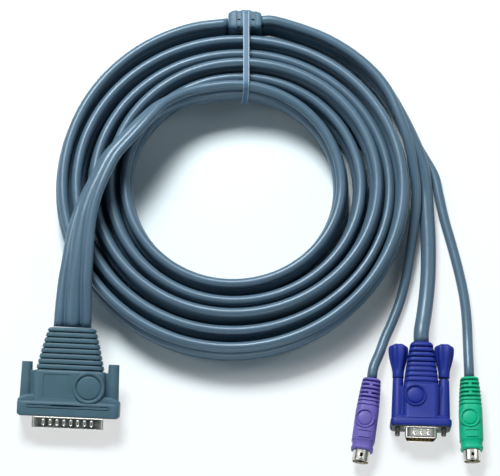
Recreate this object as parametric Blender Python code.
"""A keyboard, video and mouse cable for a switch, wound flat and tied.

One 25-way plug leads to three cords bonded side by side. They are wound into a flat coil,
part at a moulded collar, and end in a 15-way plug and two round plugs.
Metres, +Z up. The floor is z = 0, and the whole cable lies on it.
"""

import math

import bmesh
import bpy
from mathutils import Matrix, Vector

# Gap between pieces that touch, and how far a cutter runs past what it cuts.
CLEARANCE = 0.0003
OVERCUT = 0.001

# Cable: a thin, a thick and a thin cord bonded side by side.
THIN_CORD_DIAMETER = 0.0056
THICK_CORD_DIAMETER = 0.0086
CORD_WEB = 0.0004
CORD_PITCH = (THIN_CORD_DIAMETER + THICK_CORD_DIAMETER) / 2 + CORD_WEB
RIBBON_WIDTH = 2 * CORD_PITCH + THIN_CORD_DIAMETER
STATION_SPACING = 0.007
TUBE_POINT_SPACING = 2.2
SPAN_STEPS = 12

# Coil: radii of the middle of the ribbon at the top, right, bottom and left of the winding.
COIL_CENTRE = Vector((-0.0099, 0.0265, 0.0))
INNER_TURN_RADII = (0.0576, 0.0603, 0.0590, 0.0602, 0.0576)
OUTER_TURN_RADII = (0.0872, 0.0944, 0.0951, 0.0945, 0.0973)
COIL_HEIGHT = 0.0240
COIL_EDGE = 0.0025
COIL_STEPS = 68
COIL_STEP_ANGLE = 0.15

# Collar where the three cords part, on the last pass at the top of the coil.
COLLAR_START_X = -0.0123
COLLAR_LENGTH = 0.0188
COLLAR_DEPTH = 0.0110
COLLAR_HEIGHT = 0.0236
COLLAR_WALL_STEP = 0.0006
COLLAR_GROOVE_WIDTH = 0.0011
COLLAR_GROOVE_DEPTH = 0.0005
COLLAR_WINDOW_WIDTH = 0.0016
COLLAR_WINDOW_HEIGHT = 0.0050

# Strap that ties the coil, with a small lock on the far side.
TIE_X = -0.0021
TIE_WIDTH = 0.0034
TIE_THICKNESS = 0.0010
TIE_CORNER = 0.0014
TIE_LOCK_SIZE = Vector((0.0052, 0.0034, 0.0066))
TIE_LOCK_Z = 0.0080

# Places of the four plugs: middle of the front face, turn about Z and pitch, in degrees.
D25_PLACE = Vector((-0.0984, -0.1056, 0.00754))
D25_YAW = -2.6
D25_PITCH = 17.0
D15_PLACE = Vector((0.0922, -0.1125, 0.00775))
D15_YAW = -1.8
KEYBOARD_PLACE = Vector((0.0603, -0.1246, 0.00620))
KEYBOARD_YAW = -8.6
MOUSE_PLACE = Vector((0.1197, -0.1243, 0.00620))
MOUSE_YAW = 0.3

# Hood of the 25-way plug.
D25_FLANGE_RIM = 0.0011
D25_FLANGE_HEIGHT = 0.0160
D25_FLANGE_DEPTH = 0.0078
D25_BODY_WIDTH = 0.0386
D25_BODY_HEIGHT = 0.0146
D25_BODY_LENGTH = 0.0247
D25_LENGTH = 0.0480
D25_RELIEF_WIDTH = 0.0366
D25_REAR_WIDTH = 0.0250
D25_REAR_HEIGHT = 0.0124
D25_GROOVE_START = 0.0252
D25_GROOVE_DEPTHS = (0.0012,) * 8
D25_DIMPLE_X = 0.0108
D25_DIMPLE_Y = 0.0159
D25_DIMPLE_RADIUS = 0.0086
D25_BOSS_X = 0.0196
D25_BOSS_LENGTH = 0.0160
D25_BOSS_RISE = 0.0036
D25_PANEL_X = -0.0077
D25_PANEL_Y = 0.0205
D25_PANEL_SIZE = (0.0152, 0.0044)
D25_SLOT_LENGTH = 0.0450
D25_EAR_LENGTH = 0.0290

# Hood of the 15-way plug.
D15_FLANGE_RIM = 0.0010
D15_FLANGE_HEIGHT = 0.0155
D15_FLANGE_DEPTH = 0.0043
D15_BODY_WIDTH = 0.0193
D15_BODY_HEIGHT = 0.0146
D15_BODY_LENGTH = 0.0238
D15_LENGTH = 0.0481
D15_RELIEF_WIDTH = 0.0188
D15_REAR_WIDTH = 0.0118
D15_REAR_HEIGHT = 0.0118
D15_GROOVE_START = 0.0246
D15_GROOVE_DEPTHS = (0.0005,) * 4 + (0.0010,) * 4
D15_DIMPLE_X = -0.0034
D15_DIMPLE_Y = 0.0167
D15_DIMPLE_RADIUS = 0.0060
D15_BOSS_X = 0.0105
D15_BOSS_LENGTH = 0.0096
D15_BOSS_RISE = 0.0022
D15_EAR_LENGTH = 0.0276

# Shared by both hoods.
GROOVE_PITCH = 0.00290
GROOVE_WIDTH = 0.0008
HOOD_CORNER = 0.0028
HOOD_EDGE = 0.0008
HOOD_WALL = 0.0014
RELIEF_BULGE = 0.0029
REAR_ROUNDING = 0.0014
EAR_FRONT_RADIUS = 0.0035
EAR_REAR_RADIUS = 0.0030
EAR_WEB_SETBACK = 0.0046
EAR_WEB_HEIGHT = 0.0040
RIM_HEIGHT = 0.00035
RIM_WIDTH = 0.0009
RING_GROOVE_WIDTH = 0.0013
RING_GROOVE_DEPTH = 0.0007
PANEL_DEPTH = 0.0003
SLOT_WIDTH = 0.0020
SLOT_DEPTH = 0.0004

# Metal shells: the flange plate and the flared D-shaped skirt.
PLATE_THICKNESS = 0.0008
PLATE_PROUD = 0.0003
PLATE_HEIGHT = 0.0125
PLATE_CORNER = 0.0016
SKIRT_HEIGHT = 0.0093
SKIRT_CORNER = 0.0019
SKIRT_WALL = 0.00055
SKIRT_SLOPE = 10.0
D25_SKIRT_WIDTH = 0.0400
D25_SKIRT_LENGTH = 0.0066
D25_SCREW_SPACING = 0.04704
D25_PLATE_EDGE = 0.0030
D25_PLATE_WIDTH = D25_SCREW_SPACING + 2 * D25_PLATE_EDGE
D25_FLANGE_WIDTH = D25_PLATE_WIDTH + 2 * D25_FLANGE_RIM
D15_SKIRT_WIDTH = 0.0180
D15_SKIRT_LENGTH = 0.0062
D15_SCREW_SPACING = 0.02499
D15_PLATE_EDGE = 0.0030
D15_PLATE_WIDTH = D15_SCREW_SPACING + 2 * D15_PLATE_EDGE
D15_FLANGE_WIDTH = D15_PLATE_WIDTH + 2 * D15_FLANGE_RIM
DENT_PITCH = 0.00372
DENT_WIDTH = 0.0015
DENT_LENGTH = 0.0034
DENT_DEPTH = 0.0003
D25_DENTS = 8
D15_DENTS = 3

# Inserts: the moulded body and the pins fixed in it.
INSERT_FACE = 0.0010
INSERT_LENGTH = 0.0060
PIN_TAIL = 0.0016
D25_PIN_RADIUS = 0.0005
D25_PIN_TIP = 0.0058
D25_PIN_PITCH = 0.00277
D25_ROW_PITCH = 0.00284
D25_ROW_COUNTS = (13, 12)
D15_PIN_RADIUS = 0.0004
D15_PIN_TIP = 0.0054
D15_PIN_PITCH = 0.00229
D15_ROW_PITCH = 0.00198
D15_ROW_COUNTS = (5, 5, 5)
D15_ROW_SHIFT = 0.00057
CORE_LENGTH = 0.0120

# Screws: slotted jackscrews in the 25-way hood, thumbscrews on the 15-way one.
SCREW_RADIUS = 0.00142
SCREW_BORE_RADIUS = 0.0018
JACK_HEAD_RADIUS = 0.0021
JACK_HEAD_LENGTH = 0.0026
JACK_HEAD_RECESS = 0.0014
JACK_SLOT_WIDTH = 0.0007
JACK_SLOT_DEPTH = 0.0009
JACK_BORE_RADIUS = 0.0024
JACK_BORE_DEPTH = 0.0100
JACK_TIP = -0.0009
THUMB_GAPS = (0.0003, 0.0009)
THUMB_NECK_RADIUS = 0.0031
THUMB_NECK_LENGTH = 0.0030
THUMB_HEAD_RADIUS = 0.0054
THUMB_LENGTH = 0.0190
THUMB_FLUTES = 6
THUMB_FLUTE_DEPTH = 0.16
THUMB_STATIONS = 8
THUMB_BORE_DEPTH = 0.0155
SCREW_PROUD = 0.0048

# Round plugs.
GRIP_LENGTH = 0.0406
GRIP_WIDTH = 0.0126
GRIP_HEIGHT = 0.0124
GRIP_REAR_WIDTH = 0.0098
GRIP_REAR_HEIGHT = 0.0096
GRIP_TAPER_START = 0.0212
GRIP_NECK_LENGTH = 0.0052
GRIP_NECK_WIDTH = 0.0114
GRIP_LIP_WIDTH = 0.0120
GRIP_LIP_LENGTH = 0.0016
GRIP_GROOVE_PITCH = 0.00236
GRIP_GROOVE_WIDTH = 0.0010
GRIP_GROOVE_REAR = 0.0020
GRIP_GROOVE_DEPTHS = (0.0009, 0.0009, 0.0009, 0.0009, 0.0009, 0.0003, 0.0003)
GRIP_SOLID_GROOVES = (1, 3)
GRIP_BRIDGE_WIDTH = 0.0016
GRIP_DIMPLE_Y = 0.0169
GRIP_DIMPLE_X = (-0.0009, -0.0009)
GRIP_DIMPLE_RADIUS = 0.0054
GRIP_PANEL_Y = 0.0080
GRIP_PANEL_SIZE = (0.0080, 0.0042)
BARREL_RADIUS = 0.00465
BARREL_WALL = 0.0005
BARREL_LENGTH = 0.0062
BARREL_SEAT = 0.0110
BARREL_WINDOW = (0.0015, 0.0024)
BARREL_WINDOW_Y = -0.0031
ROUND_PIN_RADIUS = 0.0004
ROUND_PIN_TIP = 0.0052
ROUND_KEY_SIZE = (0.0022, 0.0011)
ROUND_PIN_PLACES = ((-0.0024, 0.0008), (0.0024, 0.0008), (-0.0020, -0.0018), (0.0020, -0.0018),
                    (-0.0009, 0.0026), (0.0009, 0.0026))
ROUND_CORE_RADIUS = 0.0042
ROUND_CORE_LENGTH = 0.0100

# Routes of the free cords, between their first and last points, chosen by eye.
LEAD_ROUTE = (
    (-0.0954, -0.0364, 0.0286),
    (-0.0943, -0.0235, 0.0291),
    (-0.0931, -0.0119, 0.0294),
    (-0.0914, -0.0002, 0.0299),
    (-0.0890, 0.0113, 0.0306),
    (-0.0854, 0.0230, 0.0314),
    (-0.0800, 0.0346, 0.0321),
    (-0.0732, 0.0462, 0.0327),
)
LEAD_TWIST_START = 0.10
LEAD_TWIST_END = 42.0
KEYBOARD_ROUTE = (
    (0.0312, 0.1186, 0.0196),
    (0.0453, 0.1123, 0.0192),
    (0.0593, 0.1029, 0.0188),
    (0.0709, 0.0915, 0.0186),
    (0.0793, 0.0806, 0.0184),
    (0.0842, 0.0710, 0.0182),
    (0.0886, 0.0600, 0.0175),
    (0.0916, 0.0480, 0.0160),
    (0.0924, 0.0360, 0.0134),
    (0.0927, 0.0247, 0.0112),
    (0.0923, 0.0130, 0.0094),
    (0.0908, 0.0020, 0.0076),
    (0.0888, -0.0110, 0.0057),
    (0.0866, -0.0240, 0.0040),
    (0.0833, -0.0370, 0.0031),
    (0.0788, -0.0492, 0.0031),
    (0.0741, -0.0600, 0.0033),
    (0.0711, -0.0683, 0.0042),
)
THICK_ROUTE = (
    (0.0312, 0.1186, 0.0120),
    (0.0453, 0.1123, 0.0116),
    (0.0593, 0.1029, 0.0112),
    (0.0709, 0.0915, 0.0110),
    (0.0795, 0.0808, 0.0107),
    (0.0855, 0.0712, 0.0103),
    (0.0912, 0.0595, 0.0097),
    (0.0953, 0.0475, 0.0088),
    (0.0971, 0.0360, 0.0068),
    (0.0981, 0.0250, 0.0050),
    (0.0986, 0.0130, 0.0046),
    (0.0991, 0.0010, 0.0045),
    (0.0991, -0.0110, 0.0044),
    (0.0986, -0.0240, 0.0044),
    (0.0973, -0.0365, 0.0047),
    (0.0956, -0.0480, 0.0058),
)
MOUSE_ROUTE = (
    (0.0312, 0.1186, 0.0043),
    (0.0453, 0.1123, 0.0039),
    (0.0593, 0.1029, 0.0035),
    (0.0709, 0.0915, 0.0032),
    (0.0799, 0.0812, 0.0031),
    (0.0872, 0.0720, 0.0029),
    (0.0944, 0.0597, 0.0029),
    (0.0999, 0.0477, 0.0029),
    (0.1036, 0.0362, 0.0029),
    (0.1058, 0.0250, 0.0029),
    (0.1086, 0.0100, 0.0029),
    (0.1125, -0.0060, 0.0029),
    (0.1159, -0.0215, 0.0029),
    (0.1184, -0.0365, 0.0029),
    (0.1194, -0.0500, 0.0030),
    (0.1195, -0.0630, 0.0037),
)
STRAIGHT_EXIT = 0.0070


def material(name, colour, roughness, metallic=0.0):
    """A Principled material with one colour."""
    made = bpy.data.materials.new(name)
    made.use_nodes = True
    shader = made.node_tree.nodes["Principled BSDF"]
    shader.inputs["Base Color"].default_value = (*colour, 1.0)
    shader.inputs["Roughness"].default_value = roughness
    shader.inputs["Metallic"].default_value = metallic
    return made


def empty(name, place, yaw=0.0, pitch=0.0, parent=None):
    """An empty that carries the pieces of one plug."""
    holder = bpy.data.objects.new(name, None)
    bpy.context.scene.collection.objects.link(holder)
    holder.location = place
    holder.rotation_euler = (math.radians(pitch), 0.0, math.radians(yaw))
    holder.parent = parent
    return holder


def add(name, data, parent, look=None, helper=False):
    """Links a new object. A helper is only a cutter or an added shape, and is not a piece."""
    made = bpy.data.objects.new(name, data)
    bpy.context.scene.collection.objects.link(made)
    made.parent = parent
    if look:
        data.materials.append(look)
    if helper:
        made.hide_render = True
        made.display_type = "WIRE"
    return made


def mesh_from(name, solids, smooth=True):
    """One mesh from a list of solids, each a (sections, wrap) pair of point rings."""
    form = bmesh.new()
    for sections, wrap in solids:
        rings = [[form.verts.new(point) for point in section] for section in sections]
        count = len(rings[0])
        pairs = list(zip(rings, rings[1:]))
        if wrap:
            pairs.append((rings[-1], rings[0]))
        for one, two in pairs:
            for i in range(count):
                j = (i + 1) % count
                form.faces.new((one[i], one[j], two[j], two[i]))
        if not wrap:
            form.faces.new(rings[0])
            form.faces.new(rings[-1])
    bmesh.ops.recalc_face_normals(form, faces=form.faces)
    data = bpy.data.meshes.new(name)
    form.to_mesh(data)
    form.free()
    if smooth:
        data.shade_smooth()
        data.set_sharp_from_angle(angle=math.radians(35))
    return data


def boolean(target, operation, other):
    """Joins or cuts with a helper, exactly."""
    step = target.modifiers.new(f"{operation.lower()} {other.name}", "BOOLEAN")
    step.operation = operation
    step.solver = "EXACT"
    step.object = other


def change(target, operation, label, solids):
    """Adds a helper made of solids beside the target, and joins it or cuts with it."""
    name = f"{target.name}_{label}"
    helper = add(name, mesh_from(name, solids), target.parent, helper=True)
    boolean(target, operation, helper)


def rounded_rectangle(half_width, half_height, corner, per_corner=4):
    """Points (x, z) of a rectangle with round corners, anticlockwise."""
    corner = min(corner, half_width * 0.98, half_height * 0.98)
    points = []
    for quarter, (sx, sz) in enumerate(((1, 1), (-1, 1), (-1, -1), (1, -1))):
        middle = Vector((sx * (half_width - corner), sz * (half_height - corner)))
        for i in range(per_corner):
            turn = math.radians(90 * (quarter + i / (per_corner - 1)))
            points.append(middle + corner * Vector((math.cos(turn), math.sin(turn))))
    return points


def circle(radius, sides, start=0.0):
    """Points (x, z) round a circle."""
    turns = (start + math.tau * i / sides for i in range(sides))
    return [Vector((radius * math.cos(turn), radius * math.sin(turn))) for turn in turns]


def d_outline(width, height, corner):
    """Points (x, z) of the D of a plug's skirt, wide side up."""
    slope = math.tan(math.radians(SKIRT_SLOPE))
    points = rounded_rectangle(width / 2, height / 2, corner)
    return [Vector((x * (1 - (height / 2 - z) * slope / (width / 2)), z)) for x, z in points]


def at(outline, y, x0=0.0, z0=0.0):
    """Puts an (x, z) outline at a place along local Y."""
    return [Vector((x + x0, y, z + z0)) for x, z in outline]


def prism(outline, start, end, x0=0.0, z0=0.0):
    """A straight solid along local Y."""
    return [at(outline, start, x0, z0), at(outline, end, x0, z0)], False


def turned(profile, sides, x0=0.0, z0=0.0):
    """A solid turned about local Y from (y, radius) pairs."""
    return [at(circle(radius, sides), y, x0, z0) for y, radius in profile], False


def upright(outline, start, end, x0, y0):
    """A straight solid along local Z from an (x, y) outline."""
    return [[Vector((x + x0, y + y0, z)) for x, y in outline] for z in (start, end)], False


def upright_ring(inner, outer, start, end, x0, y0, sides=28):
    """A flat ring about local Z."""
    sections = []
    for i in range(sides):
        turn = math.tau * i / sides
        out = Vector((math.cos(turn), math.sin(turn)))
        corners = ((inner, start), (outer, start), (outer, end), (inner, end))
        sections.append([Vector((x0 + out.x * r, y0 + out.y * r, z)) for r, z in corners])
    return sections, True


def box(low, high):
    """A plain block between two corners."""
    outline = [(low.x, low.z), (high.x, low.z), (high.x, high.z), (low.x, high.z)]
    return [[Vector((x, y, z)) for x, z in outline] for y in (low.y, high.y)], False


def both_sides(maker, offset):
    """The same solid made at -offset and at +offset in local X."""
    return [maker(-offset), maker(offset)]


def smooth_curve(points, per_span=SPAN_STEPS):
    """Dense points of a smooth curve through the given ones."""
    ends = [2 * points[0] - points[1], *points, 2 * points[-1] - points[-2]]
    found = []
    for a, b, c, d in zip(ends, ends[1:], ends[2:], ends[3:]):
        for i in range(per_span):
            t = i / per_span
            found.append(0.5 * (2 * b + (c - a) * t + (2 * a - 5 * b + 4 * c - d) * t ** 2
                                + (3 * b - a - 3 * c + d) * t ** 3))
    return [*found, points[-1]]


def even_points(points, spacing):
    """Points at even steps along a dense line, about the spacing apart, and its length."""
    lengths = [0.0]
    for one, two in zip(points, points[1:]):
        lengths.append(lengths[-1] + (two - one).length)
    count = max(2, round(lengths[-1] / spacing))
    found = []
    spot = 0
    for i in range(count + 1):
        goal = lengths[-1] * i / count
        while spot < len(points) - 2 and lengths[spot + 1] < goal:
            spot += 1
        span = lengths[spot + 1] - lengths[spot]
        found.append(points[spot].lerp(points[spot + 1], (goal - lengths[spot]) / span))
    return found, lengths[-1]


def relief_sections(start, end, widths, heights, grooves, corner):
    """Sections of a ribbed strain relief: grooves are (middle, width, depth) along Y."""
    def size(y):
        t = (y - start) / (end - start)
        bulge = RELIEF_BULGE * t * (1 - t)
        width = widths[0] + (widths[1] - widths[0]) * t + bulge
        return width / 2, (heights[0] + (heights[1] - heights[0]) * t) / 2

    stops = [(start, 0.0)]
    for middle, width, depth in grooves:
        low, high = middle - width / 2, middle + width / 2
        wall = width / 6
        stops += [(low, 0.0), (low + wall, depth), (high - wall, depth), (high, 0.0)]
    stops += [(end - REAR_ROUNDING, 0.0), (end - REAR_ROUNDING / 3, REAR_ROUNDING / 3)]
    stops.append((end, REAR_ROUNDING))
    sections = []
    for y, depth in stops:
        half_width, half_height = size(y)
        outline = rounded_rectangle(half_width - depth, half_height - depth, corner)
        sections.append(at(outline, y))
    return sections


def make_hood(name, holder, look, flange, body, length, relief, grooves, ear_x, ear_length):
    """A moulded hood: front flange, body, ribbed strain relief, and an ear for each screw."""
    flange_width, flange_height, flange_depth = flange
    body_width, body_height, body_length = body
    relief_width, rear_width, rear_height = relief
    corner = HOOD_CORNER
    stations = (
        (0.0, flange_width - HOOD_EDGE, flange_height - HOOD_EDGE),
        (HOOD_EDGE / 2, flange_width, flange_height),
        (flange_depth - HOOD_EDGE, flange_width, flange_height),
        (flange_depth, flange_width - 2 * HOOD_EDGE, flange_height - 2 * HOOD_EDGE),
        (flange_depth + HOOD_EDGE / 4, body_width, body_height),
        (body_length - HOOD_EDGE, body_width, body_height),
    )
    sections = [at(rounded_rectangle(w / 2, h / 2, corner), y) for y, w, h in stations]
    sections += relief_sections(body_length, length, (relief_width, rear_width),
                                (body_height - HOOD_EDGE, rear_height), grooves, corner * 1.2)
    hood = add(name, mesh_from(name, [(sections, False)]), holder, look)
    ear_start = flange_depth / 2
    change(hood, "UNION", "ears", both_sides(
        lambda x: turned(((ear_start, EAR_FRONT_RADIUS), (ear_length - HOOD_EDGE / 2, EAR_REAR_RADIUS),
                          (ear_length, EAR_REAR_RADIUS - HOOD_EDGE / 2)), 24, x), ear_x))
    web_middle = (body_width / 2 - HOOD_WALL + ear_x) / 2
    web_half = ear_x - web_middle
    change(hood, "UNION", "webs", both_sides(
        lambda x: prism(rounded_rectangle(web_half, EAR_WEB_HEIGHT / 2, HOOD_EDGE, 2),
                        ear_start * 1.1, ear_length - EAR_WEB_SETBACK, x), web_middle))
    return hood


def add_bosses(hood, x, y, half_length, rise, height):
    """Low arched shoulders where the flange meets the ears."""
    arch = [Vector((half_length * math.cos(turn), rise * math.sin(turn)))
            for turn in (math.pi * i / 12 for i in range(13))]
    arch += [Vector((-half_length, -rise)), Vector((half_length, -rise))]
    change(hood, "UNION", "bosses", both_sides(
        lambda side: upright(arch, -height / 2, height / 2, side, y), x))


def add_dimple(hood, x, y, radius, surface):
    """A raised ring round a thumb pad, with a groove inside it."""
    change(hood, "UNION", "rim", [upright(circle(radius, 32), surface / 2,
                                         surface + RIM_HEIGHT, x, y)])
    outer = radius - RIM_WIDTH
    change(hood, "DIFFERENCE", "ring_groove", [upright_ring(
        outer - RING_GROOVE_WIDTH, outer, surface - RING_GROOVE_DEPTH,
        surface + RIM_HEIGHT + OVERCUT, x, y)])


def add_cavity(hood, mouth, core, mouth_depth, depth):
    """The hollow that holds the insert and the inner mould, open at the front."""
    change(hood, "DIFFERENCE", "cavity", [(
        [at(rounded_rectangle(w / 2, h / 2, HOOD_EDGE, 3), y) for y, (w, h) in (
            (-OVERCUT, mouth), (mouth_depth, mouth), (mouth_depth, core), (depth, core))],
        False)])


def make_shell(name, holder, look, plate_width, skirt_width, skirt_length, spacing, dents):
    """A pressed shell: flange plate, D skirt, screw holes and grounding dents."""
    plate = rounded_rectangle(plate_width / 2, PLATE_HEIGHT / 2, PLATE_CORNER)
    shell = add(name, mesh_from(name, [prism(plate, -PLATE_PROUD, PLATE_THICKNESS - PLATE_PROUD)]),
                holder, look)
    outer = d_outline(skirt_width, SKIRT_HEIGHT, SKIRT_CORNER)
    inner = d_outline(skirt_width - 2 * SKIRT_WALL, SKIRT_HEIGHT - 2 * SKIRT_WALL,
                      SKIRT_CORNER - SKIRT_WALL)
    change(shell, "UNION", "skirt", [prism(outer, -skirt_length, PLATE_THICKNESS / 4)])
    change(shell, "DIFFERENCE", "mouth", [prism(inner, -skirt_length - OVERCUT, PLATE_THICKNESS + OVERCUT)])
    change(shell, "DIFFERENCE", "holes", both_sides(
        lambda x: turned(((-OVERCUT, SCREW_BORE_RADIUS), (OVERCUT, SCREW_BORE_RADIUS)), 16, x),
        spacing / 2))
    middle = -(skirt_length + PLATE_PROUD) / 2
    solids = []
    for side, count in ((1, dents), (-1, dents - 1)):
        for i in range(count):
            x = (i - (count - 1) / 2) * DENT_PITCH
            face = side * SKIRT_HEIGHT / 2
            low, high = sorted((face - side * DENT_DEPTH, face + side * OVERCUT))
            solids.append(box(Vector((x - DENT_WIDTH / 2, middle - DENT_LENGTH / 2, low)),
                              Vector((x + DENT_WIDTH / 2, middle + DENT_LENGTH / 2, high))))
    change(shell, "DIFFERENCE", "dents", solids)
    return shell


def pin(radius, tip, tail, x, z, sides=6):
    """A pin along local Y with a tapered tip."""
    return turned(((-tip, radius * 0.5), (-tip + radius, radius), (tail, radius)), sides, x, z)


def make_insert(name, holder, look, skirt_width, places, pin_radius, pin_tip):
    """The moulded insert with its pins."""
    inset = SKIRT_WALL + CLEARANCE
    outline = d_outline(skirt_width - 2 * inset, SKIRT_HEIGHT - 2 * inset, SKIRT_CORNER - inset)
    insert = add(name, mesh_from(name, [prism(outline, -INSERT_FACE, INSERT_LENGTH)]), holder, look)
    change(insert, "UNION", "pins", [pin(pin_radius, pin_tip, INSERT_LENGTH + PIN_TAIL, x, z)
                                     for x, z in places])
    return insert


def row_places(counts, pitch, row_pitch, shift=0.0):
    """Places (x, z) of pins in rows, the first row on top."""
    places = []
    for row, count in enumerate(counts):
        z = ((len(counts) - 1) / 2 - row) * row_pitch
        for i in range(count):
            x = (i - (count - 1) / 2) * pitch + (shift if row % 2 == 0 else -shift)
            places.append((x, z))
    return places


def make_core(name, holder, look, width, height):
    """The inner mould behind the insert, over the soldered ends."""
    start = INSERT_LENGTH + PIN_TAIL + CLEARANCE
    outline = rounded_rectangle(width / 2, height / 2, HOOD_CORNER / 2)
    return add(name, mesh_from(name, [prism(outline, start, start + CORE_LENGTH)]), holder, look)


def screw_holder(name, holder, x):
    """An empty on a screw's axis, so that the screw turns about its own origin."""
    return empty(name, Vector((x, 0.0, 0.0)), parent=holder)


def make_jackscrew(name, holder, look):
    """A slotted captive screw, drawn back inside its ear."""
    head_end = D25_EAR_LENGTH - JACK_HEAD_RECESS
    head_start = head_end - JACK_HEAD_LENGTH
    profile = ((JACK_TIP * -1, SCREW_RADIUS * 0.7), (JACK_TIP * -1 + SCREW_RADIUS * 0.3, SCREW_RADIUS),
               (head_start, SCREW_RADIUS), (head_start, JACK_HEAD_RADIUS),
               (head_end - HOOD_EDGE / 4, JACK_HEAD_RADIUS), (head_end, JACK_HEAD_RADIUS - HOOD_EDGE / 4))
    screw = add(name, mesh_from(name, [turned(profile, 16)]), holder, look)
    half = JACK_SLOT_WIDTH / 2
    reach = JACK_HEAD_RADIUS + OVERCUT
    change(screw, "DIFFERENCE", "slot", [box(Vector((-reach, head_end - JACK_SLOT_DEPTH, -half)),
                                            Vector((reach, head_end + OVERCUT, half)))])
    return screw


def thumb_radius(t):
    """Radius of the thumbscrew's head along its flare, from the neck to the rounded end."""
    flare = math.sin(min(t / 0.80, 1.0) * math.pi / 2) ** 1.4
    radius = THUMB_NECK_RADIUS + (THUMB_HEAD_RADIUS - THUMB_NECK_RADIUS) * flare
    if t > 0.86:
        radius *= math.sqrt(max(1 - ((t - 0.86) / 0.155) ** 2, 0.0)) * 0.62 + 0.38
    return radius


def make_thumbscrew(name, holder, look, gap):
    """The fluted plastic head of a thumbscrew, hollow for its steel screw."""
    start = D15_EAR_LENGTH + gap
    flare_start = start + THUMB_NECK_LENGTH
    flare_length = THUMB_LENGTH - THUMB_NECK_LENGTH
    stations = [(start, THUMB_NECK_RADIUS, 0.0), (flare_start, THUMB_NECK_RADIUS, 0.0)]
    for i in range(1, THUMB_STATIONS + 1):
        t = i / THUMB_STATIONS
        depth = THUMB_FLUTE_DEPTH * math.sin(min(t * 2.5, 1.0) * math.pi / 2)
        stations.append((flare_start + flare_length * t, thumb_radius(t), depth))
    sides = THUMB_FLUTES * 4
    sections = []
    for y, radius, depth in stations:
        outline = []
        for i in range(sides):
            turn = math.tau * i / sides
            flute = 0.5 - 0.5 * math.cos(turn * THUMB_FLUTES)
            r = radius * (1 - depth * flute)
            outline.append(Vector((r * math.cos(turn), r * math.sin(turn))))
        sections.append(at(outline, y))
    head = add(name, mesh_from(name, [(sections, False)]), holder, look)
    bore = SCREW_RADIUS + CLEARANCE
    depth = start + THUMB_BORE_DEPTH
    change(head, "DIFFERENCE", "bore", [turned(((start - OVERCUT, bore), (depth, bore)), 16)])
    return head


def make_screw(name, holder, look, gap):
    """The steel screw of a thumbscrew, from inside the head to its tip past the plate."""
    end = D15_EAR_LENGTH + gap + THUMB_BORE_DEPTH - CLEARANCE
    tip = -SCREW_PROUD + gap
    profile = ((tip, SCREW_RADIUS * 0.7), (tip + SCREW_RADIUS * 0.3, SCREW_RADIUS), (end, SCREW_RADIUS))
    return add(name, mesh_from(name, [turned(profile, 16)]), holder, look)


def grip_size(y):
    """Half width and half height of a round plug's grip at a place along it."""
    t = max(0.0, (y - GRIP_TAPER_START) / (GRIP_LENGTH - GRIP_TAPER_START))
    ease = t * (0.55 + 0.45 * t)
    return ((GRIP_WIDTH + (GRIP_REAR_WIDTH - GRIP_WIDTH) * ease) / 2,
            (GRIP_HEIGHT + (GRIP_REAR_HEIGHT - GRIP_HEIGHT) * ease) / 2)


def make_grip(name, holder, look, dimple_x):
    """The moulded grip of a round plug, with a ribbed strain relief."""
    lip, neck = GRIP_LIP_WIDTH / 2, GRIP_NECK_WIDTH / 2
    edge = HOOD_EDGE / 3
    stops = [(0.0, lip - edge, lip - edge), (edge, lip, lip), (GRIP_LIP_LENGTH, lip, lip),
             (GRIP_LIP_LENGTH + edge, neck, neck), (GRIP_NECK_LENGTH - edge, neck, neck),
             (GRIP_NECK_LENGTH, *grip_size(0.0))]
    grooves = []
    for i, depth in enumerate(GRIP_GROOVE_DEPTHS):
        middle = GRIP_LENGTH - GRIP_GROOVE_REAR - i * GRIP_GROOVE_PITCH
        grooves.append((middle, depth))
    for middle, depth in reversed(grooves):
        low, high = middle - GRIP_GROOVE_WIDTH / 2, middle + GRIP_GROOVE_WIDTH / 2
        wall = GRIP_GROOVE_WIDTH / 6
        for y, cut in ((low, 0.0), (low + wall, depth), (high - wall, depth), (high, 0.0)):
            half_width, half_height = grip_size(y)
            stops.append((y, half_width - cut, half_height - cut))
    rear_width, rear_height = grip_size(GRIP_LENGTH)
    stops.append((GRIP_LENGTH - REAR_ROUNDING / 2, rear_width, rear_height))
    stops.append((GRIP_LENGTH, rear_width - REAR_ROUNDING / 2, rear_height - REAR_ROUNDING / 2))
    sections = [at(rounded_rectangle(w, h, w * 0.62), y) for y, w, h in stops]
    grip = add(name, mesh_from(name, [(sections, False)]), holder, look)
    bridges = []
    for i in GRIP_SOLID_GROOVES:
        middle = grooves[i][0]
        half_height = grip_size(middle)[1]
        corners = (Vector((-GRIP_BRIDGE_WIDTH / 2, middle - GRIP_GROOVE_WIDTH, -half_height * 0.97)),
                   Vector((GRIP_BRIDGE_WIDTH / 2, middle + GRIP_GROOVE_WIDTH, half_height * 0.97)))
        bridges.append(box(*corners))
    change(grip, "UNION", "bridges", bridges)
    surface = GRIP_HEIGHT / 2
    add_dimple(grip, dimple_x, GRIP_DIMPLE_Y, GRIP_DIMPLE_RADIUS, surface)
    width, length = GRIP_PANEL_SIZE
    panel = rounded_rectangle(width / 2, length / 2, HOOD_EDGE, 3)
    change(grip, "DIFFERENCE", "panel", [upright(panel, surface - PANEL_DEPTH, surface + OVERCUT,
                                                0.0, GRIP_PANEL_Y)])
    bore = BARREL_RADIUS + CLEARANCE
    core = ROUND_CORE_RADIUS + CLEARANCE
    seat = BARREL_SEAT + CLEARANCE
    end = seat + ROUND_CORE_LENGTH + 2 * CLEARANCE
    profile = ((-OVERCUT, bore), (seat, bore), (seat, core), (end, core))
    change(grip, "DIFFERENCE", "bore", [turned(profile, 24)])
    return grip


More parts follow.
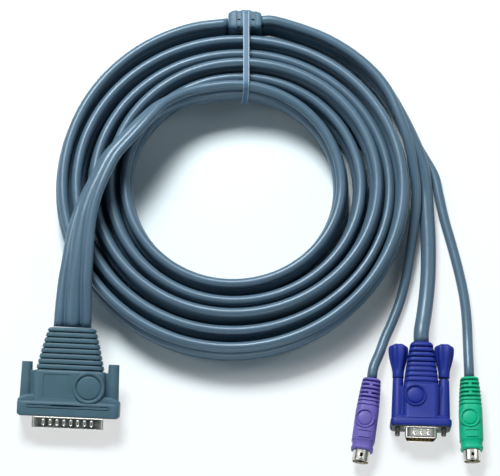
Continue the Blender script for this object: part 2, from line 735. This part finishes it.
def make_barrel(name, holder, look):
    """The thin metal sleeve of a round plug, with its latch window."""
    inner = BARREL_RADIUS - BARREL_WALL
    ring = ((-BARREL_LENGTH, inner), (-BARREL_LENGTH, BARREL_RADIUS - BARREL_WALL / 3),
            (-BARREL_LENGTH + BARREL_WALL / 3, BARREL_RADIUS), (BARREL_SEAT, BARREL_RADIUS),
            (BARREL_SEAT, inner))
    sides = 28
    sections = []
    for i in range(sides):
        turn = math.tau * i / sides
        sections.append([Vector((r * math.cos(turn), y, r * math.sin(turn))) for y, r in ring])
    barrel = add(name, mesh_from(name, [(sections, True)]), holder, look)
    width, length = BARREL_WINDOW
    change(barrel, "DIFFERENCE", "window", [box(
        Vector((-width / 2, BARREL_WINDOW_Y - length / 2, inner / 2)),
        Vector((width / 2, BARREL_WINDOW_Y + length / 2, BARREL_RADIUS + OVERCUT)))])
    return barrel


def make_round_insert(name, holder, look):
    """The insert of a round plug, with its pins and plastic key."""
    radius = BARREL_RADIUS - BARREL_WALL - CLEARANCE
    profile = ((-INSERT_FACE, radius), (BARREL_SEAT - OVERCUT, radius))
    insert = add(name, mesh_from(name, [turned(profile, 24)]), holder, look)
    solids = [pin(ROUND_PIN_RADIUS, ROUND_PIN_TIP, INSERT_LENGTH, x, z) for x, z in ROUND_PIN_PLACES]
    half_width, half_height = ROUND_KEY_SIZE[0] / 2, ROUND_KEY_SIZE[1] / 2
    solids.append(box(Vector((-half_width, -ROUND_PIN_TIP, -half_height)),
                      Vector((half_width, INSERT_LENGTH, half_height))))
    change(insert, "UNION", "pins", solids)
    return insert


def make_round_core(name, holder, look):
    """The inner mould of a round plug."""
    start = BARREL_SEAT + 2 * CLEARANCE
    profile = ((start, ROUND_CORE_RADIUS), (start + ROUND_CORE_LENGTH - CLEARANCE, ROUND_CORE_RADIUS))
    return add(name, mesh_from(name, [turned(profile, 20)]), holder, look)


def ease_between(values, bearing):
    """Value at a bearing in degrees, from values given every 90 degrees."""
    quarter = min(int(bearing // 90), len(values) - 2)
    t = bearing / 90 - quarter
    blend = 0.5 - 0.5 * math.cos(math.pi * t)
    return values[quarter] + (values[quarter + 1] - values[quarter]) * blend


def coil_point(radius, bearing, z):
    """A point on the coil: the bearing runs clockwise from the top, in degrees."""
    turn = math.radians(bearing)
    return COIL_CENTRE + Vector((radius * math.sin(turn), radius * math.cos(turn), z))


def make_coil(root, look):
    """The wound turns as one solid, stepped where the last pass ends at the collar."""
    end_x = COLLAR_START_X - CLEARANCE
    half = THICK_CORD_DIAMETER / 2
    step_radius = OUTER_TURN_RADII[0] + half
    end_bearing = math.degrees(math.asin((end_x - COIL_CENTRE.x) / step_radius)) - COIL_STEP_ANGLE
    sections = []
    span = 360 - COIL_STEP_ANGLE
    for i in range(COIL_STEPS + 1):
        bearing = end_bearing + COIL_STEP_ANGLE + span * i / COIL_STEPS
        along = min(max(bearing, 0.0), 360.0)
        inner = ease_between(INNER_TURN_RADII, along) - half
        outer = ease_between(OUTER_TURN_RADII, along) + half
        corners = ((inner, COIL_EDGE), (inner + COIL_EDGE, 0.0), (outer - COIL_EDGE, 0.0),
                   (outer, COIL_EDGE), (outer, COIL_HEIGHT - COIL_EDGE),
                   (outer - COIL_EDGE, COIL_HEIGHT), (inner + COIL_EDGE, COIL_HEIGHT),
                   (inner, COIL_HEIGHT - COIL_EDGE))
        sections.append([coil_point(radius, bearing, z) for radius, z in corners])
    coil = add("cable_coil", mesh_from("cable_coil", [(sections, True)]), root, look)
    half_width = TIE_WIDTH / 2 + CLEARANCE
    low_y, high_y = tie_sides()
    change(coil, "DIFFERENCE", "strap_channel", [box(
        Vector((TIE_X - half_width, low_y - OVERCUT, -OVERCUT)),
        Vector((TIE_X + half_width, high_y, TIE_THICKNESS + CLEARANCE)))])
    return coil


def collar_middle():
    """Middle of the collar."""
    half_depth = COLLAR_DEPTH / 2
    wall = COIL_CENTRE.y + OUTER_TURN_RADII[0] + THICK_CORD_DIAMETER / 2
    low = TIE_THICKNESS + CLEARANCE
    return Vector((COLLAR_START_X + COLLAR_LENGTH / 2, wall + CLEARANCE + half_depth,
                   low + COLLAR_HEIGHT / 2))


def make_collar(root, look):
    """The moulded collar, with two grooves round it and a small window in each."""
    middle = collar_middle()
    start, length = COLLAR_START_X, COLLAR_LENGTH
    deep = COLLAR_GROOVE_DEPTH
    step = COLLAR_WALL_STEP
    groove = COLLAR_GROOVE_WIDTH / length
    stations = [(0.0, 3 * step), (0.10, step), (0.14, 0.0)]
    for spot in (0.34, 0.80):
        stations += [(spot, 0.0), (spot + 0.01, deep), (spot + groove, deep), (spot + groove + 0.01, 0.0)]
    stations += [(0.98, 0.0), (1.0, step)]
    sections = []
    for t, inset in stations:
        outline = rounded_rectangle(COLLAR_DEPTH / 2 - inset, COLLAR_HEIGHT / 2 - inset, 0.0036, 5)
        sections.append([Vector((start + length * t, middle.y + y, middle.z + z)) for y, z in outline])
    collar = add("split_collar", mesh_from("split_collar", [(sections, False)]), root, look)
    half_width, half_height = COLLAR_WINDOW_WIDTH / 2, COLLAR_WINDOW_HEIGHT / 2
    top = middle.z + COLLAR_HEIGHT / 2
    solids = []
    for spot in (0.34, 0.80):
        x = start + length * (spot + groove / 2)
        solids.append(box(Vector((x - half_width, middle.y - half_height, top - 3 * deep)),
                          Vector((x + half_width, middle.y + half_height, top + OVERCUT))))
    change(collar, "DIFFERENCE", "windows", solids)
    return collar


def tie_sides():
    """The strap's inner faces in Y: past the coil's inner wall, and past the collar."""
    offset = max(abs(TIE_X - TIE_WIDTH / 2 - COIL_CENTRE.x), abs(TIE_X + TIE_WIDTH / 2 - COIL_CENTRE.x))
    inner = INNER_TURN_RADII[0] - THICK_CORD_DIAMETER / 2
    near = COIL_CENTRE.y + math.sqrt(inner ** 2 - offset ** 2) - CLEARANCE
    far = collar_middle().y + COLLAR_DEPTH / 2 + CLEARANCE
    return near, far


def make_tie(root, look):
    """The strap round the coil and the collar, with its lock."""
    near, far = tie_sides()
    low = TIE_THICKNESS
    top = COIL_HEIGHT + CLEARANCE
    collar_top = max(collar_middle().z + COLLAR_HEIGHT / 2, COIL_HEIGHT) + CLEARANCE
    corner = TIE_CORNER
    inner = ((near, low + corner), (near, top - corner), (near + corner, top),
             (collar_middle().y - COLLAR_DEPTH / 2, top), (collar_middle().y - COLLAR_DEPTH / 4, collar_top),
             (far - corner, collar_top), (far, collar_top - corner), (far, low + corner),
             (far - corner, low), (near + corner, low))
    middle = Vector(((near + far) / 2, (low + top) / 2))
    sections = []
    count = len(inner)
    for i, point in enumerate(inner):
        before, after = Vector(inner[i - 1]), Vector(inner[(i + 1) % count])
        point = Vector(point)
        normals = []
        for one, two in ((before, point), (point, after)):
            edge = (two - one).normalized()
            normal = Vector((edge.y, -edge.x))
            if normal.dot(one - middle) < 0:
                normal = -normal
            normals.append(normal)
        out = (normals[0] + normals[1]).normalized()
        outer = point + out * TIE_THICKNESS / out.dot(normals[0])
        sections.append([Vector((TIE_X + side * TIE_WIDTH / 2, *spot))
                         for side, spot in ((-1, point), (1, point), (1, outer), (-1, outer))])
    tie = add("cable_tie", mesh_from("cable_tie", [(sections, True)], smooth=False), root, look)
    half = TIE_LOCK_SIZE / 2
    centre = Vector((TIE_X, far + half.y + TIE_THICKNESS / 3, TIE_LOCK_Z))
    change(tie, "UNION", "lock", [box(centre - half, centre + half)])
    return tie


def make_tube(name, root, look, points, diameter, resolution):
    """A round cord along a smooth line, straight as it leaves each end."""
    middle = smooth_curve(points)[SPAN_STEPS:-SPAN_STEPS]
    line, _ = even_points(middle, diameter * TUBE_POINT_SPACING)
    line = [points[0], *line, points[-1]]
    data = bpy.data.curves.new(name, "CURVE")
    data.dimensions = "3D"
    data.bevel_depth = diameter / 2
    data.bevel_resolution = resolution
    data.use_fill_caps = True
    spline = data.splines.new("POLY")
    spline.points.add(len(line) - 1)
    for spot, point in zip(spline.points, line):
        spot.co = (*point, 1.0)
    return add(name, data, root, look)


def ribbon_outline(per_lobe=8):
    """Points (across, up) round the three bonded cords."""
    thin, thick = THIN_CORD_DIAMETER / 2, THICK_CORD_DIAMETER / 2
    lobes = ((CORD_PITCH, thin, -152, 152), (0.0, thick, 18, 162), (-CORD_PITCH, thin, 28, 332),
             (0.0, thick, 198, 342))
    points = []
    for middle, radius, start, end in lobes:
        for i in range(per_lobe):
            turn = math.radians(start + (end - start) * i / (per_lobe - 1))
            points.append(Vector((middle + radius * math.cos(turn), radius * math.sin(turn))))
    return points


def make_lead(root, look, first, second):
    """The flat stretch from the 25-way plug up on to the coil, turning on to its edge."""
    points = [first, second, *(Vector(point) for point in LEAD_ROUTE)]
    line, _ = even_points(smooth_curve(points), STATION_SPACING)
    outline = ribbon_outline()
    sections = []
    last = len(line) - 1
    for i, point in enumerate(line):
        along = (line[min(i + 1, last)] - line[max(i - 1, 0)]).normalized()
        if i == 0:
            along = (second - first).normalized()
        side = along.cross(Vector((0, 0, 1))).normalized()
        up = side.cross(along)
        t = max(0.0, (i / last - LEAD_TWIST_START) / (1 - LEAD_TWIST_START))
        twist = math.radians(LEAD_TWIST_END) * t * t
        across = side * math.cos(twist) + up * math.sin(twist)
        over = up * math.cos(twist) - side * math.sin(twist)
        sections.append([point + across * a + over * b for a, b in outline])
    return add("ribbon_lead", mesh_from("ribbon_lead", [(sections, False)]), root, look)


def make_d25(root, looks):
    """The 25-way plug with its hood, shell, insert, inner mould and jackscrews."""
    holder = empty("d25_frame", D25_PLACE, D25_YAW, D25_PITCH, root)
    ear_x = D25_SCREW_SPACING / 2
    grooves = [(D25_GROOVE_START + i * GROOVE_PITCH, GROOVE_WIDTH, depth)
               for i, depth in enumerate(D25_GROOVE_DEPTHS)]
    hood = make_hood("db25_hood", holder, looks["grey"],
                     (D25_FLANGE_WIDTH, D25_FLANGE_HEIGHT, D25_FLANGE_DEPTH),
                     (D25_BODY_WIDTH, D25_BODY_HEIGHT, D25_BODY_LENGTH), D25_LENGTH,
                     (D25_RELIEF_WIDTH, D25_REAR_WIDTH, D25_REAR_HEIGHT), grooves, ear_x,
                     D25_EAR_LENGTH)
    add_bosses(hood, D25_BOSS_X, D25_FLANGE_DEPTH, D25_BOSS_LENGTH / 2, D25_BOSS_RISE,
               D25_FLANGE_HEIGHT - 3 * HOOD_EDGE)
    surface = D25_BODY_HEIGHT / 2
    add_dimple(hood, D25_DIMPLE_X, D25_DIMPLE_Y, D25_DIMPLE_RADIUS, surface)
    width, length = D25_PANEL_SIZE
    panel = rounded_rectangle(width / 2, length / 2, HOOD_EDGE, 3)
    slot = rounded_rectangle(D25_SLOT_LENGTH / 2, SLOT_WIDTH / 2, SLOT_WIDTH / 2, 4)
    flange_top = D25_FLANGE_HEIGHT / 2
    change(hood, "DIFFERENCE", "panels", [
        upright(panel, surface - PANEL_DEPTH, surface + OVERCUT, D25_PANEL_X, D25_PANEL_Y),
        upright(slot, flange_top - SLOT_DEPTH, flange_top + OVERCUT, 0.0, D25_FLANGE_DEPTH / 2)])
    finish_hood(hood, D25_PLATE_WIDTH, D25_SKIRT_WIDTH, D25_BODY_WIDTH, D25_BODY_HEIGHT, ear_x,
                D25_EAR_LENGTH)
    change(hood, "DIFFERENCE", "screw_seats", both_sides(
        lambda x: turned(((D25_EAR_LENGTH - JACK_BORE_DEPTH, JACK_BORE_RADIUS),
                          (D25_EAR_LENGTH + OVERCUT, JACK_BORE_RADIUS)), 20, x), ear_x))
    make_shell("db25_shell", holder, looks["nickel"], D25_PLATE_WIDTH, D25_SKIRT_WIDTH,
               D25_SKIRT_LENGTH, D25_SCREW_SPACING, D25_DENTS)
    make_insert("db25_insert", holder, looks["black"], D25_SKIRT_WIDTH,
                row_places(D25_ROW_COUNTS, D25_PIN_PITCH, D25_ROW_PITCH), D25_PIN_RADIUS, D25_PIN_TIP)
    make_core("db25_inner_mould", holder, looks["milky"],
              D25_BODY_WIDTH - 2 * (HOOD_WALL + CLEARANCE), D25_BODY_HEIGHT - 2 * (HOOD_WALL + CLEARANCE))
    for side, x in (("left", -ear_x), ("right", ear_x)):
        axis = screw_holder(f"db25_{side}_axis", holder, x)
        make_jackscrew(f"db25_jackscrew_{side}", axis, looks["steel"])
    return holder


def finish_hood(hood, plate_width, skirt_width, body_width, body_height, ear_x, ear_length):
    """Cuts a hood's hollow, the seat of its shell's plate and the screws' bores."""
    mouth = (skirt_width + 2 * CLEARANCE, SKIRT_HEIGHT + 2 * CLEARANCE)
    core = (body_width - 2 * HOOD_WALL, body_height - 2 * HOOD_WALL)
    core_start = INSERT_LENGTH + CLEARANCE
    depth = INSERT_LENGTH + PIN_TAIL + CORE_LENGTH + 2 * CLEARANCE
    add_cavity(hood, mouth, core, core_start, depth)
    seat = rounded_rectangle(plate_width / 2 + CLEARANCE, PLATE_HEIGHT / 2 + CLEARANCE, PLATE_CORNER)
    seat_depth = PLATE_THICKNESS - PLATE_PROUD + CLEARANCE
    change(hood, "DIFFERENCE", "plate_seat", [prism(seat, -OVERCUT, seat_depth)])
    change(hood, "DIFFERENCE", "bores", both_sides(
        lambda x: turned(((-OVERCUT, SCREW_BORE_RADIUS), (ear_length + OVERCUT, SCREW_BORE_RADIUS)), 16, x),
        ear_x))


def make_d15(root, looks):
    """The 15-way plug with its hood, shell, insert, inner mould and thumbscrews."""
    holder = empty("d15_frame", D15_PLACE, D15_YAW, 0.0, root)
    ear_x = D15_SCREW_SPACING / 2
    grooves = [(D15_GROOVE_START + i * GROOVE_PITCH, GROOVE_WIDTH, depth)
               for i, depth in enumerate(D15_GROOVE_DEPTHS)]
    hood = make_hood("vga_hood", holder, looks["blue"],
                     (D15_FLANGE_WIDTH, D15_FLANGE_HEIGHT, D15_FLANGE_DEPTH),
                     (D15_BODY_WIDTH, D15_BODY_HEIGHT, D15_BODY_LENGTH), D15_LENGTH,
                     (D15_RELIEF_WIDTH, D15_REAR_WIDTH, D15_REAR_HEIGHT), grooves, ear_x,
                     D15_EAR_LENGTH)
    add_bosses(hood, D15_BOSS_X, D15_FLANGE_DEPTH, D15_BOSS_LENGTH / 2, D15_BOSS_RISE,
               D15_FLANGE_HEIGHT - 3 * HOOD_EDGE)
    add_dimple(hood, D15_DIMPLE_X, D15_DIMPLE_Y, D15_DIMPLE_RADIUS, D15_BODY_HEIGHT / 2)
    finish_hood(hood, D15_PLATE_WIDTH, D15_SKIRT_WIDTH, D15_BODY_WIDTH, D15_BODY_HEIGHT, ear_x,
                D15_EAR_LENGTH)
    make_shell("vga_shell", holder, looks["nickel"], D15_PLATE_WIDTH, D15_SKIRT_WIDTH,
               D15_SKIRT_LENGTH, D15_SCREW_SPACING, D15_DENTS)
    make_insert("vga_insert", holder, looks["black"], D15_SKIRT_WIDTH,
                row_places(D15_ROW_COUNTS, D15_PIN_PITCH, D15_ROW_PITCH, D15_ROW_SHIFT),
                D15_PIN_RADIUS, D15_PIN_TIP)
    make_core("vga_inner_mould", holder, looks["milky"],
              D15_BODY_WIDTH - 2 * (HOOD_WALL + CLEARANCE), D15_BODY_HEIGHT - 2 * (HOOD_WALL + CLEARANCE))
    for side, x, gap in (("left", -ear_x, THUMB_GAPS[0]), ("right", ear_x, THUMB_GAPS[1])):
        axis = screw_holder(f"vga_{side}_axis", holder, x)
        make_thumbscrew(f"vga_thumbscrew_{side}", axis, looks["blue"], gap)
        make_screw(f"vga_screw_{side}", axis, looks["steel"], gap)
    return holder


def make_round_plug(prefix, root, place, yaw, dimple_x, looks, look):
    """A round plug: grip, barrel, insert and inner mould."""
    holder = empty(f"{prefix}_frame", place, yaw, 0.0, root)
    make_grip(f"{prefix}_grip", holder, look, dimple_x)
    make_barrel(f"{prefix}_barrel", holder, looks["nickel"])
    make_round_insert(f"{prefix}_insert", holder, looks["black"])
    make_round_core(f"{prefix}_inner_mould", holder, looks["milky"])
    return holder


def exit_points(place, yaw, pitch, length):
    """The first two points of a cord, straight out of the rear of a plug."""
    turn = Matrix.Rotation(math.radians(yaw), 3, "Z") @ Matrix.Rotation(math.radians(pitch), 3, "X")
    along = turn @ Vector((0.0, 1.0, 0.0))
    return [place + along * (length + CLEARANCE), place + along * (length + STRAIGHT_EXIT)]


def make_tails(root, look):
    """The three separate cords, from the collar to their plugs."""
    middle = collar_middle()
    start = Vector((COLLAR_START_X + COLLAR_LENGTH + CLEARANCE, middle.y, middle.z))
    run = Vector((STRAIGHT_EXIT, 0.0, 0.0))
    plans = (
        ("keyboard_tail", THIN_CORD_DIAMETER, CORD_PITCH, KEYBOARD_ROUTE,
         exit_points(KEYBOARD_PLACE, KEYBOARD_YAW, 0.0, GRIP_LENGTH)),
        ("vga_tail", THICK_CORD_DIAMETER, 0.0, THICK_ROUTE,
         exit_points(D15_PLACE, D15_YAW, 0.0, D15_LENGTH)),
        ("mouse_tail", THIN_CORD_DIAMETER, -CORD_PITCH, MOUSE_ROUTE,
         exit_points(MOUSE_PLACE, MOUSE_YAW, 0.0, GRIP_LENGTH)),
    )
    for name, diameter, rise, route, plug_points in plans:
        first = start + Vector((0.0, 0.0, rise))
        points = [first, first + run, *(Vector(point) for point in route), *reversed(plug_points)]
        make_tube(name, root, look, points, diameter, 2)


def centre_on_floor(root):
    """Moves the whole cable so that the middle of its box stands over the origin."""
    bpy.context.view_layer.update()
    depsgraph = bpy.context.evaluated_depsgraph_get()
    places = []
    for piece in bpy.context.scene.objects:
        if piece.type == "EMPTY" or piece.hide_render:
            continue
        shown = piece.evaluated_get(depsgraph)
        places += [piece.matrix_world @ vertex.co for vertex in shown.to_mesh().vertices]
        shown.to_mesh_clear()
    for axis in (0, 1):
        values = [place[axis] for place in places]
        root.location[axis] -= (min(values) + max(values)) / 2
    bpy.context.view_layer.update()
    print("moved by", [round(value * 1000, 3) for value in root.location])


def main():
    """Builds every piece under one empty that puts the floor middle at the origin."""
    for old in list(bpy.data.objects):
        bpy.data.objects.remove(old, do_unlink=True)
    looks = {
        "grey": material("grey_hood_vinyl", (0.070, 0.145, 0.205), 0.45),
        "jacket": material("grey_cable_vinyl", (0.115, 0.190, 0.280), 0.40),
        "blue": material("blue_hood_vinyl", (0.020, 0.040, 0.320), 0.40),
        "purple": material("purple_grip_vinyl", (0.170, 0.125, 0.430), 0.42),
        "green": material("green_grip_vinyl", (0.010, 0.420, 0.230), 0.42),
        "nickel": material("nickel_plate", (0.620, 0.600, 0.560), 0.25, 1.0),
        "steel": material("steel_screw", (0.420, 0.410, 0.390), 0.35, 1.0),
        "black": material("black_insert_resin", (0.015, 0.015, 0.016), 0.50),
        "milky": material("milky_inner_resin", (0.700, 0.690, 0.640), 0.60),
        "clear": material("clear_strap_nylon", (0.780, 0.830, 0.860), 0.30),
    }
    root = empty("cable_frame", Vector((0.0, 0.0, 0.0)))
    make_coil(root, looks["jacket"])
    make_collar(root, looks["grey"])
    make_tie(root, looks["clear"])
    make_d25(root, looks)
    make_d15(root, looks)
    make_round_plug("keyboard", root, KEYBOARD_PLACE, KEYBOARD_YAW, GRIP_DIMPLE_X[0], looks,
                    looks["purple"])
    make_round_plug("mouse", root, MOUSE_PLACE, MOUSE_YAW, GRIP_DIMPLE_X[1], looks, looks["green"])
    make_lead(root, looks["jacket"], *exit_points(D25_PLACE, D25_YAW, D25_PITCH, D25_LENGTH))
    make_tails(root, looks["jacket"])
    centre_on_floor(root)


if __name__ == "__main__":
    main()
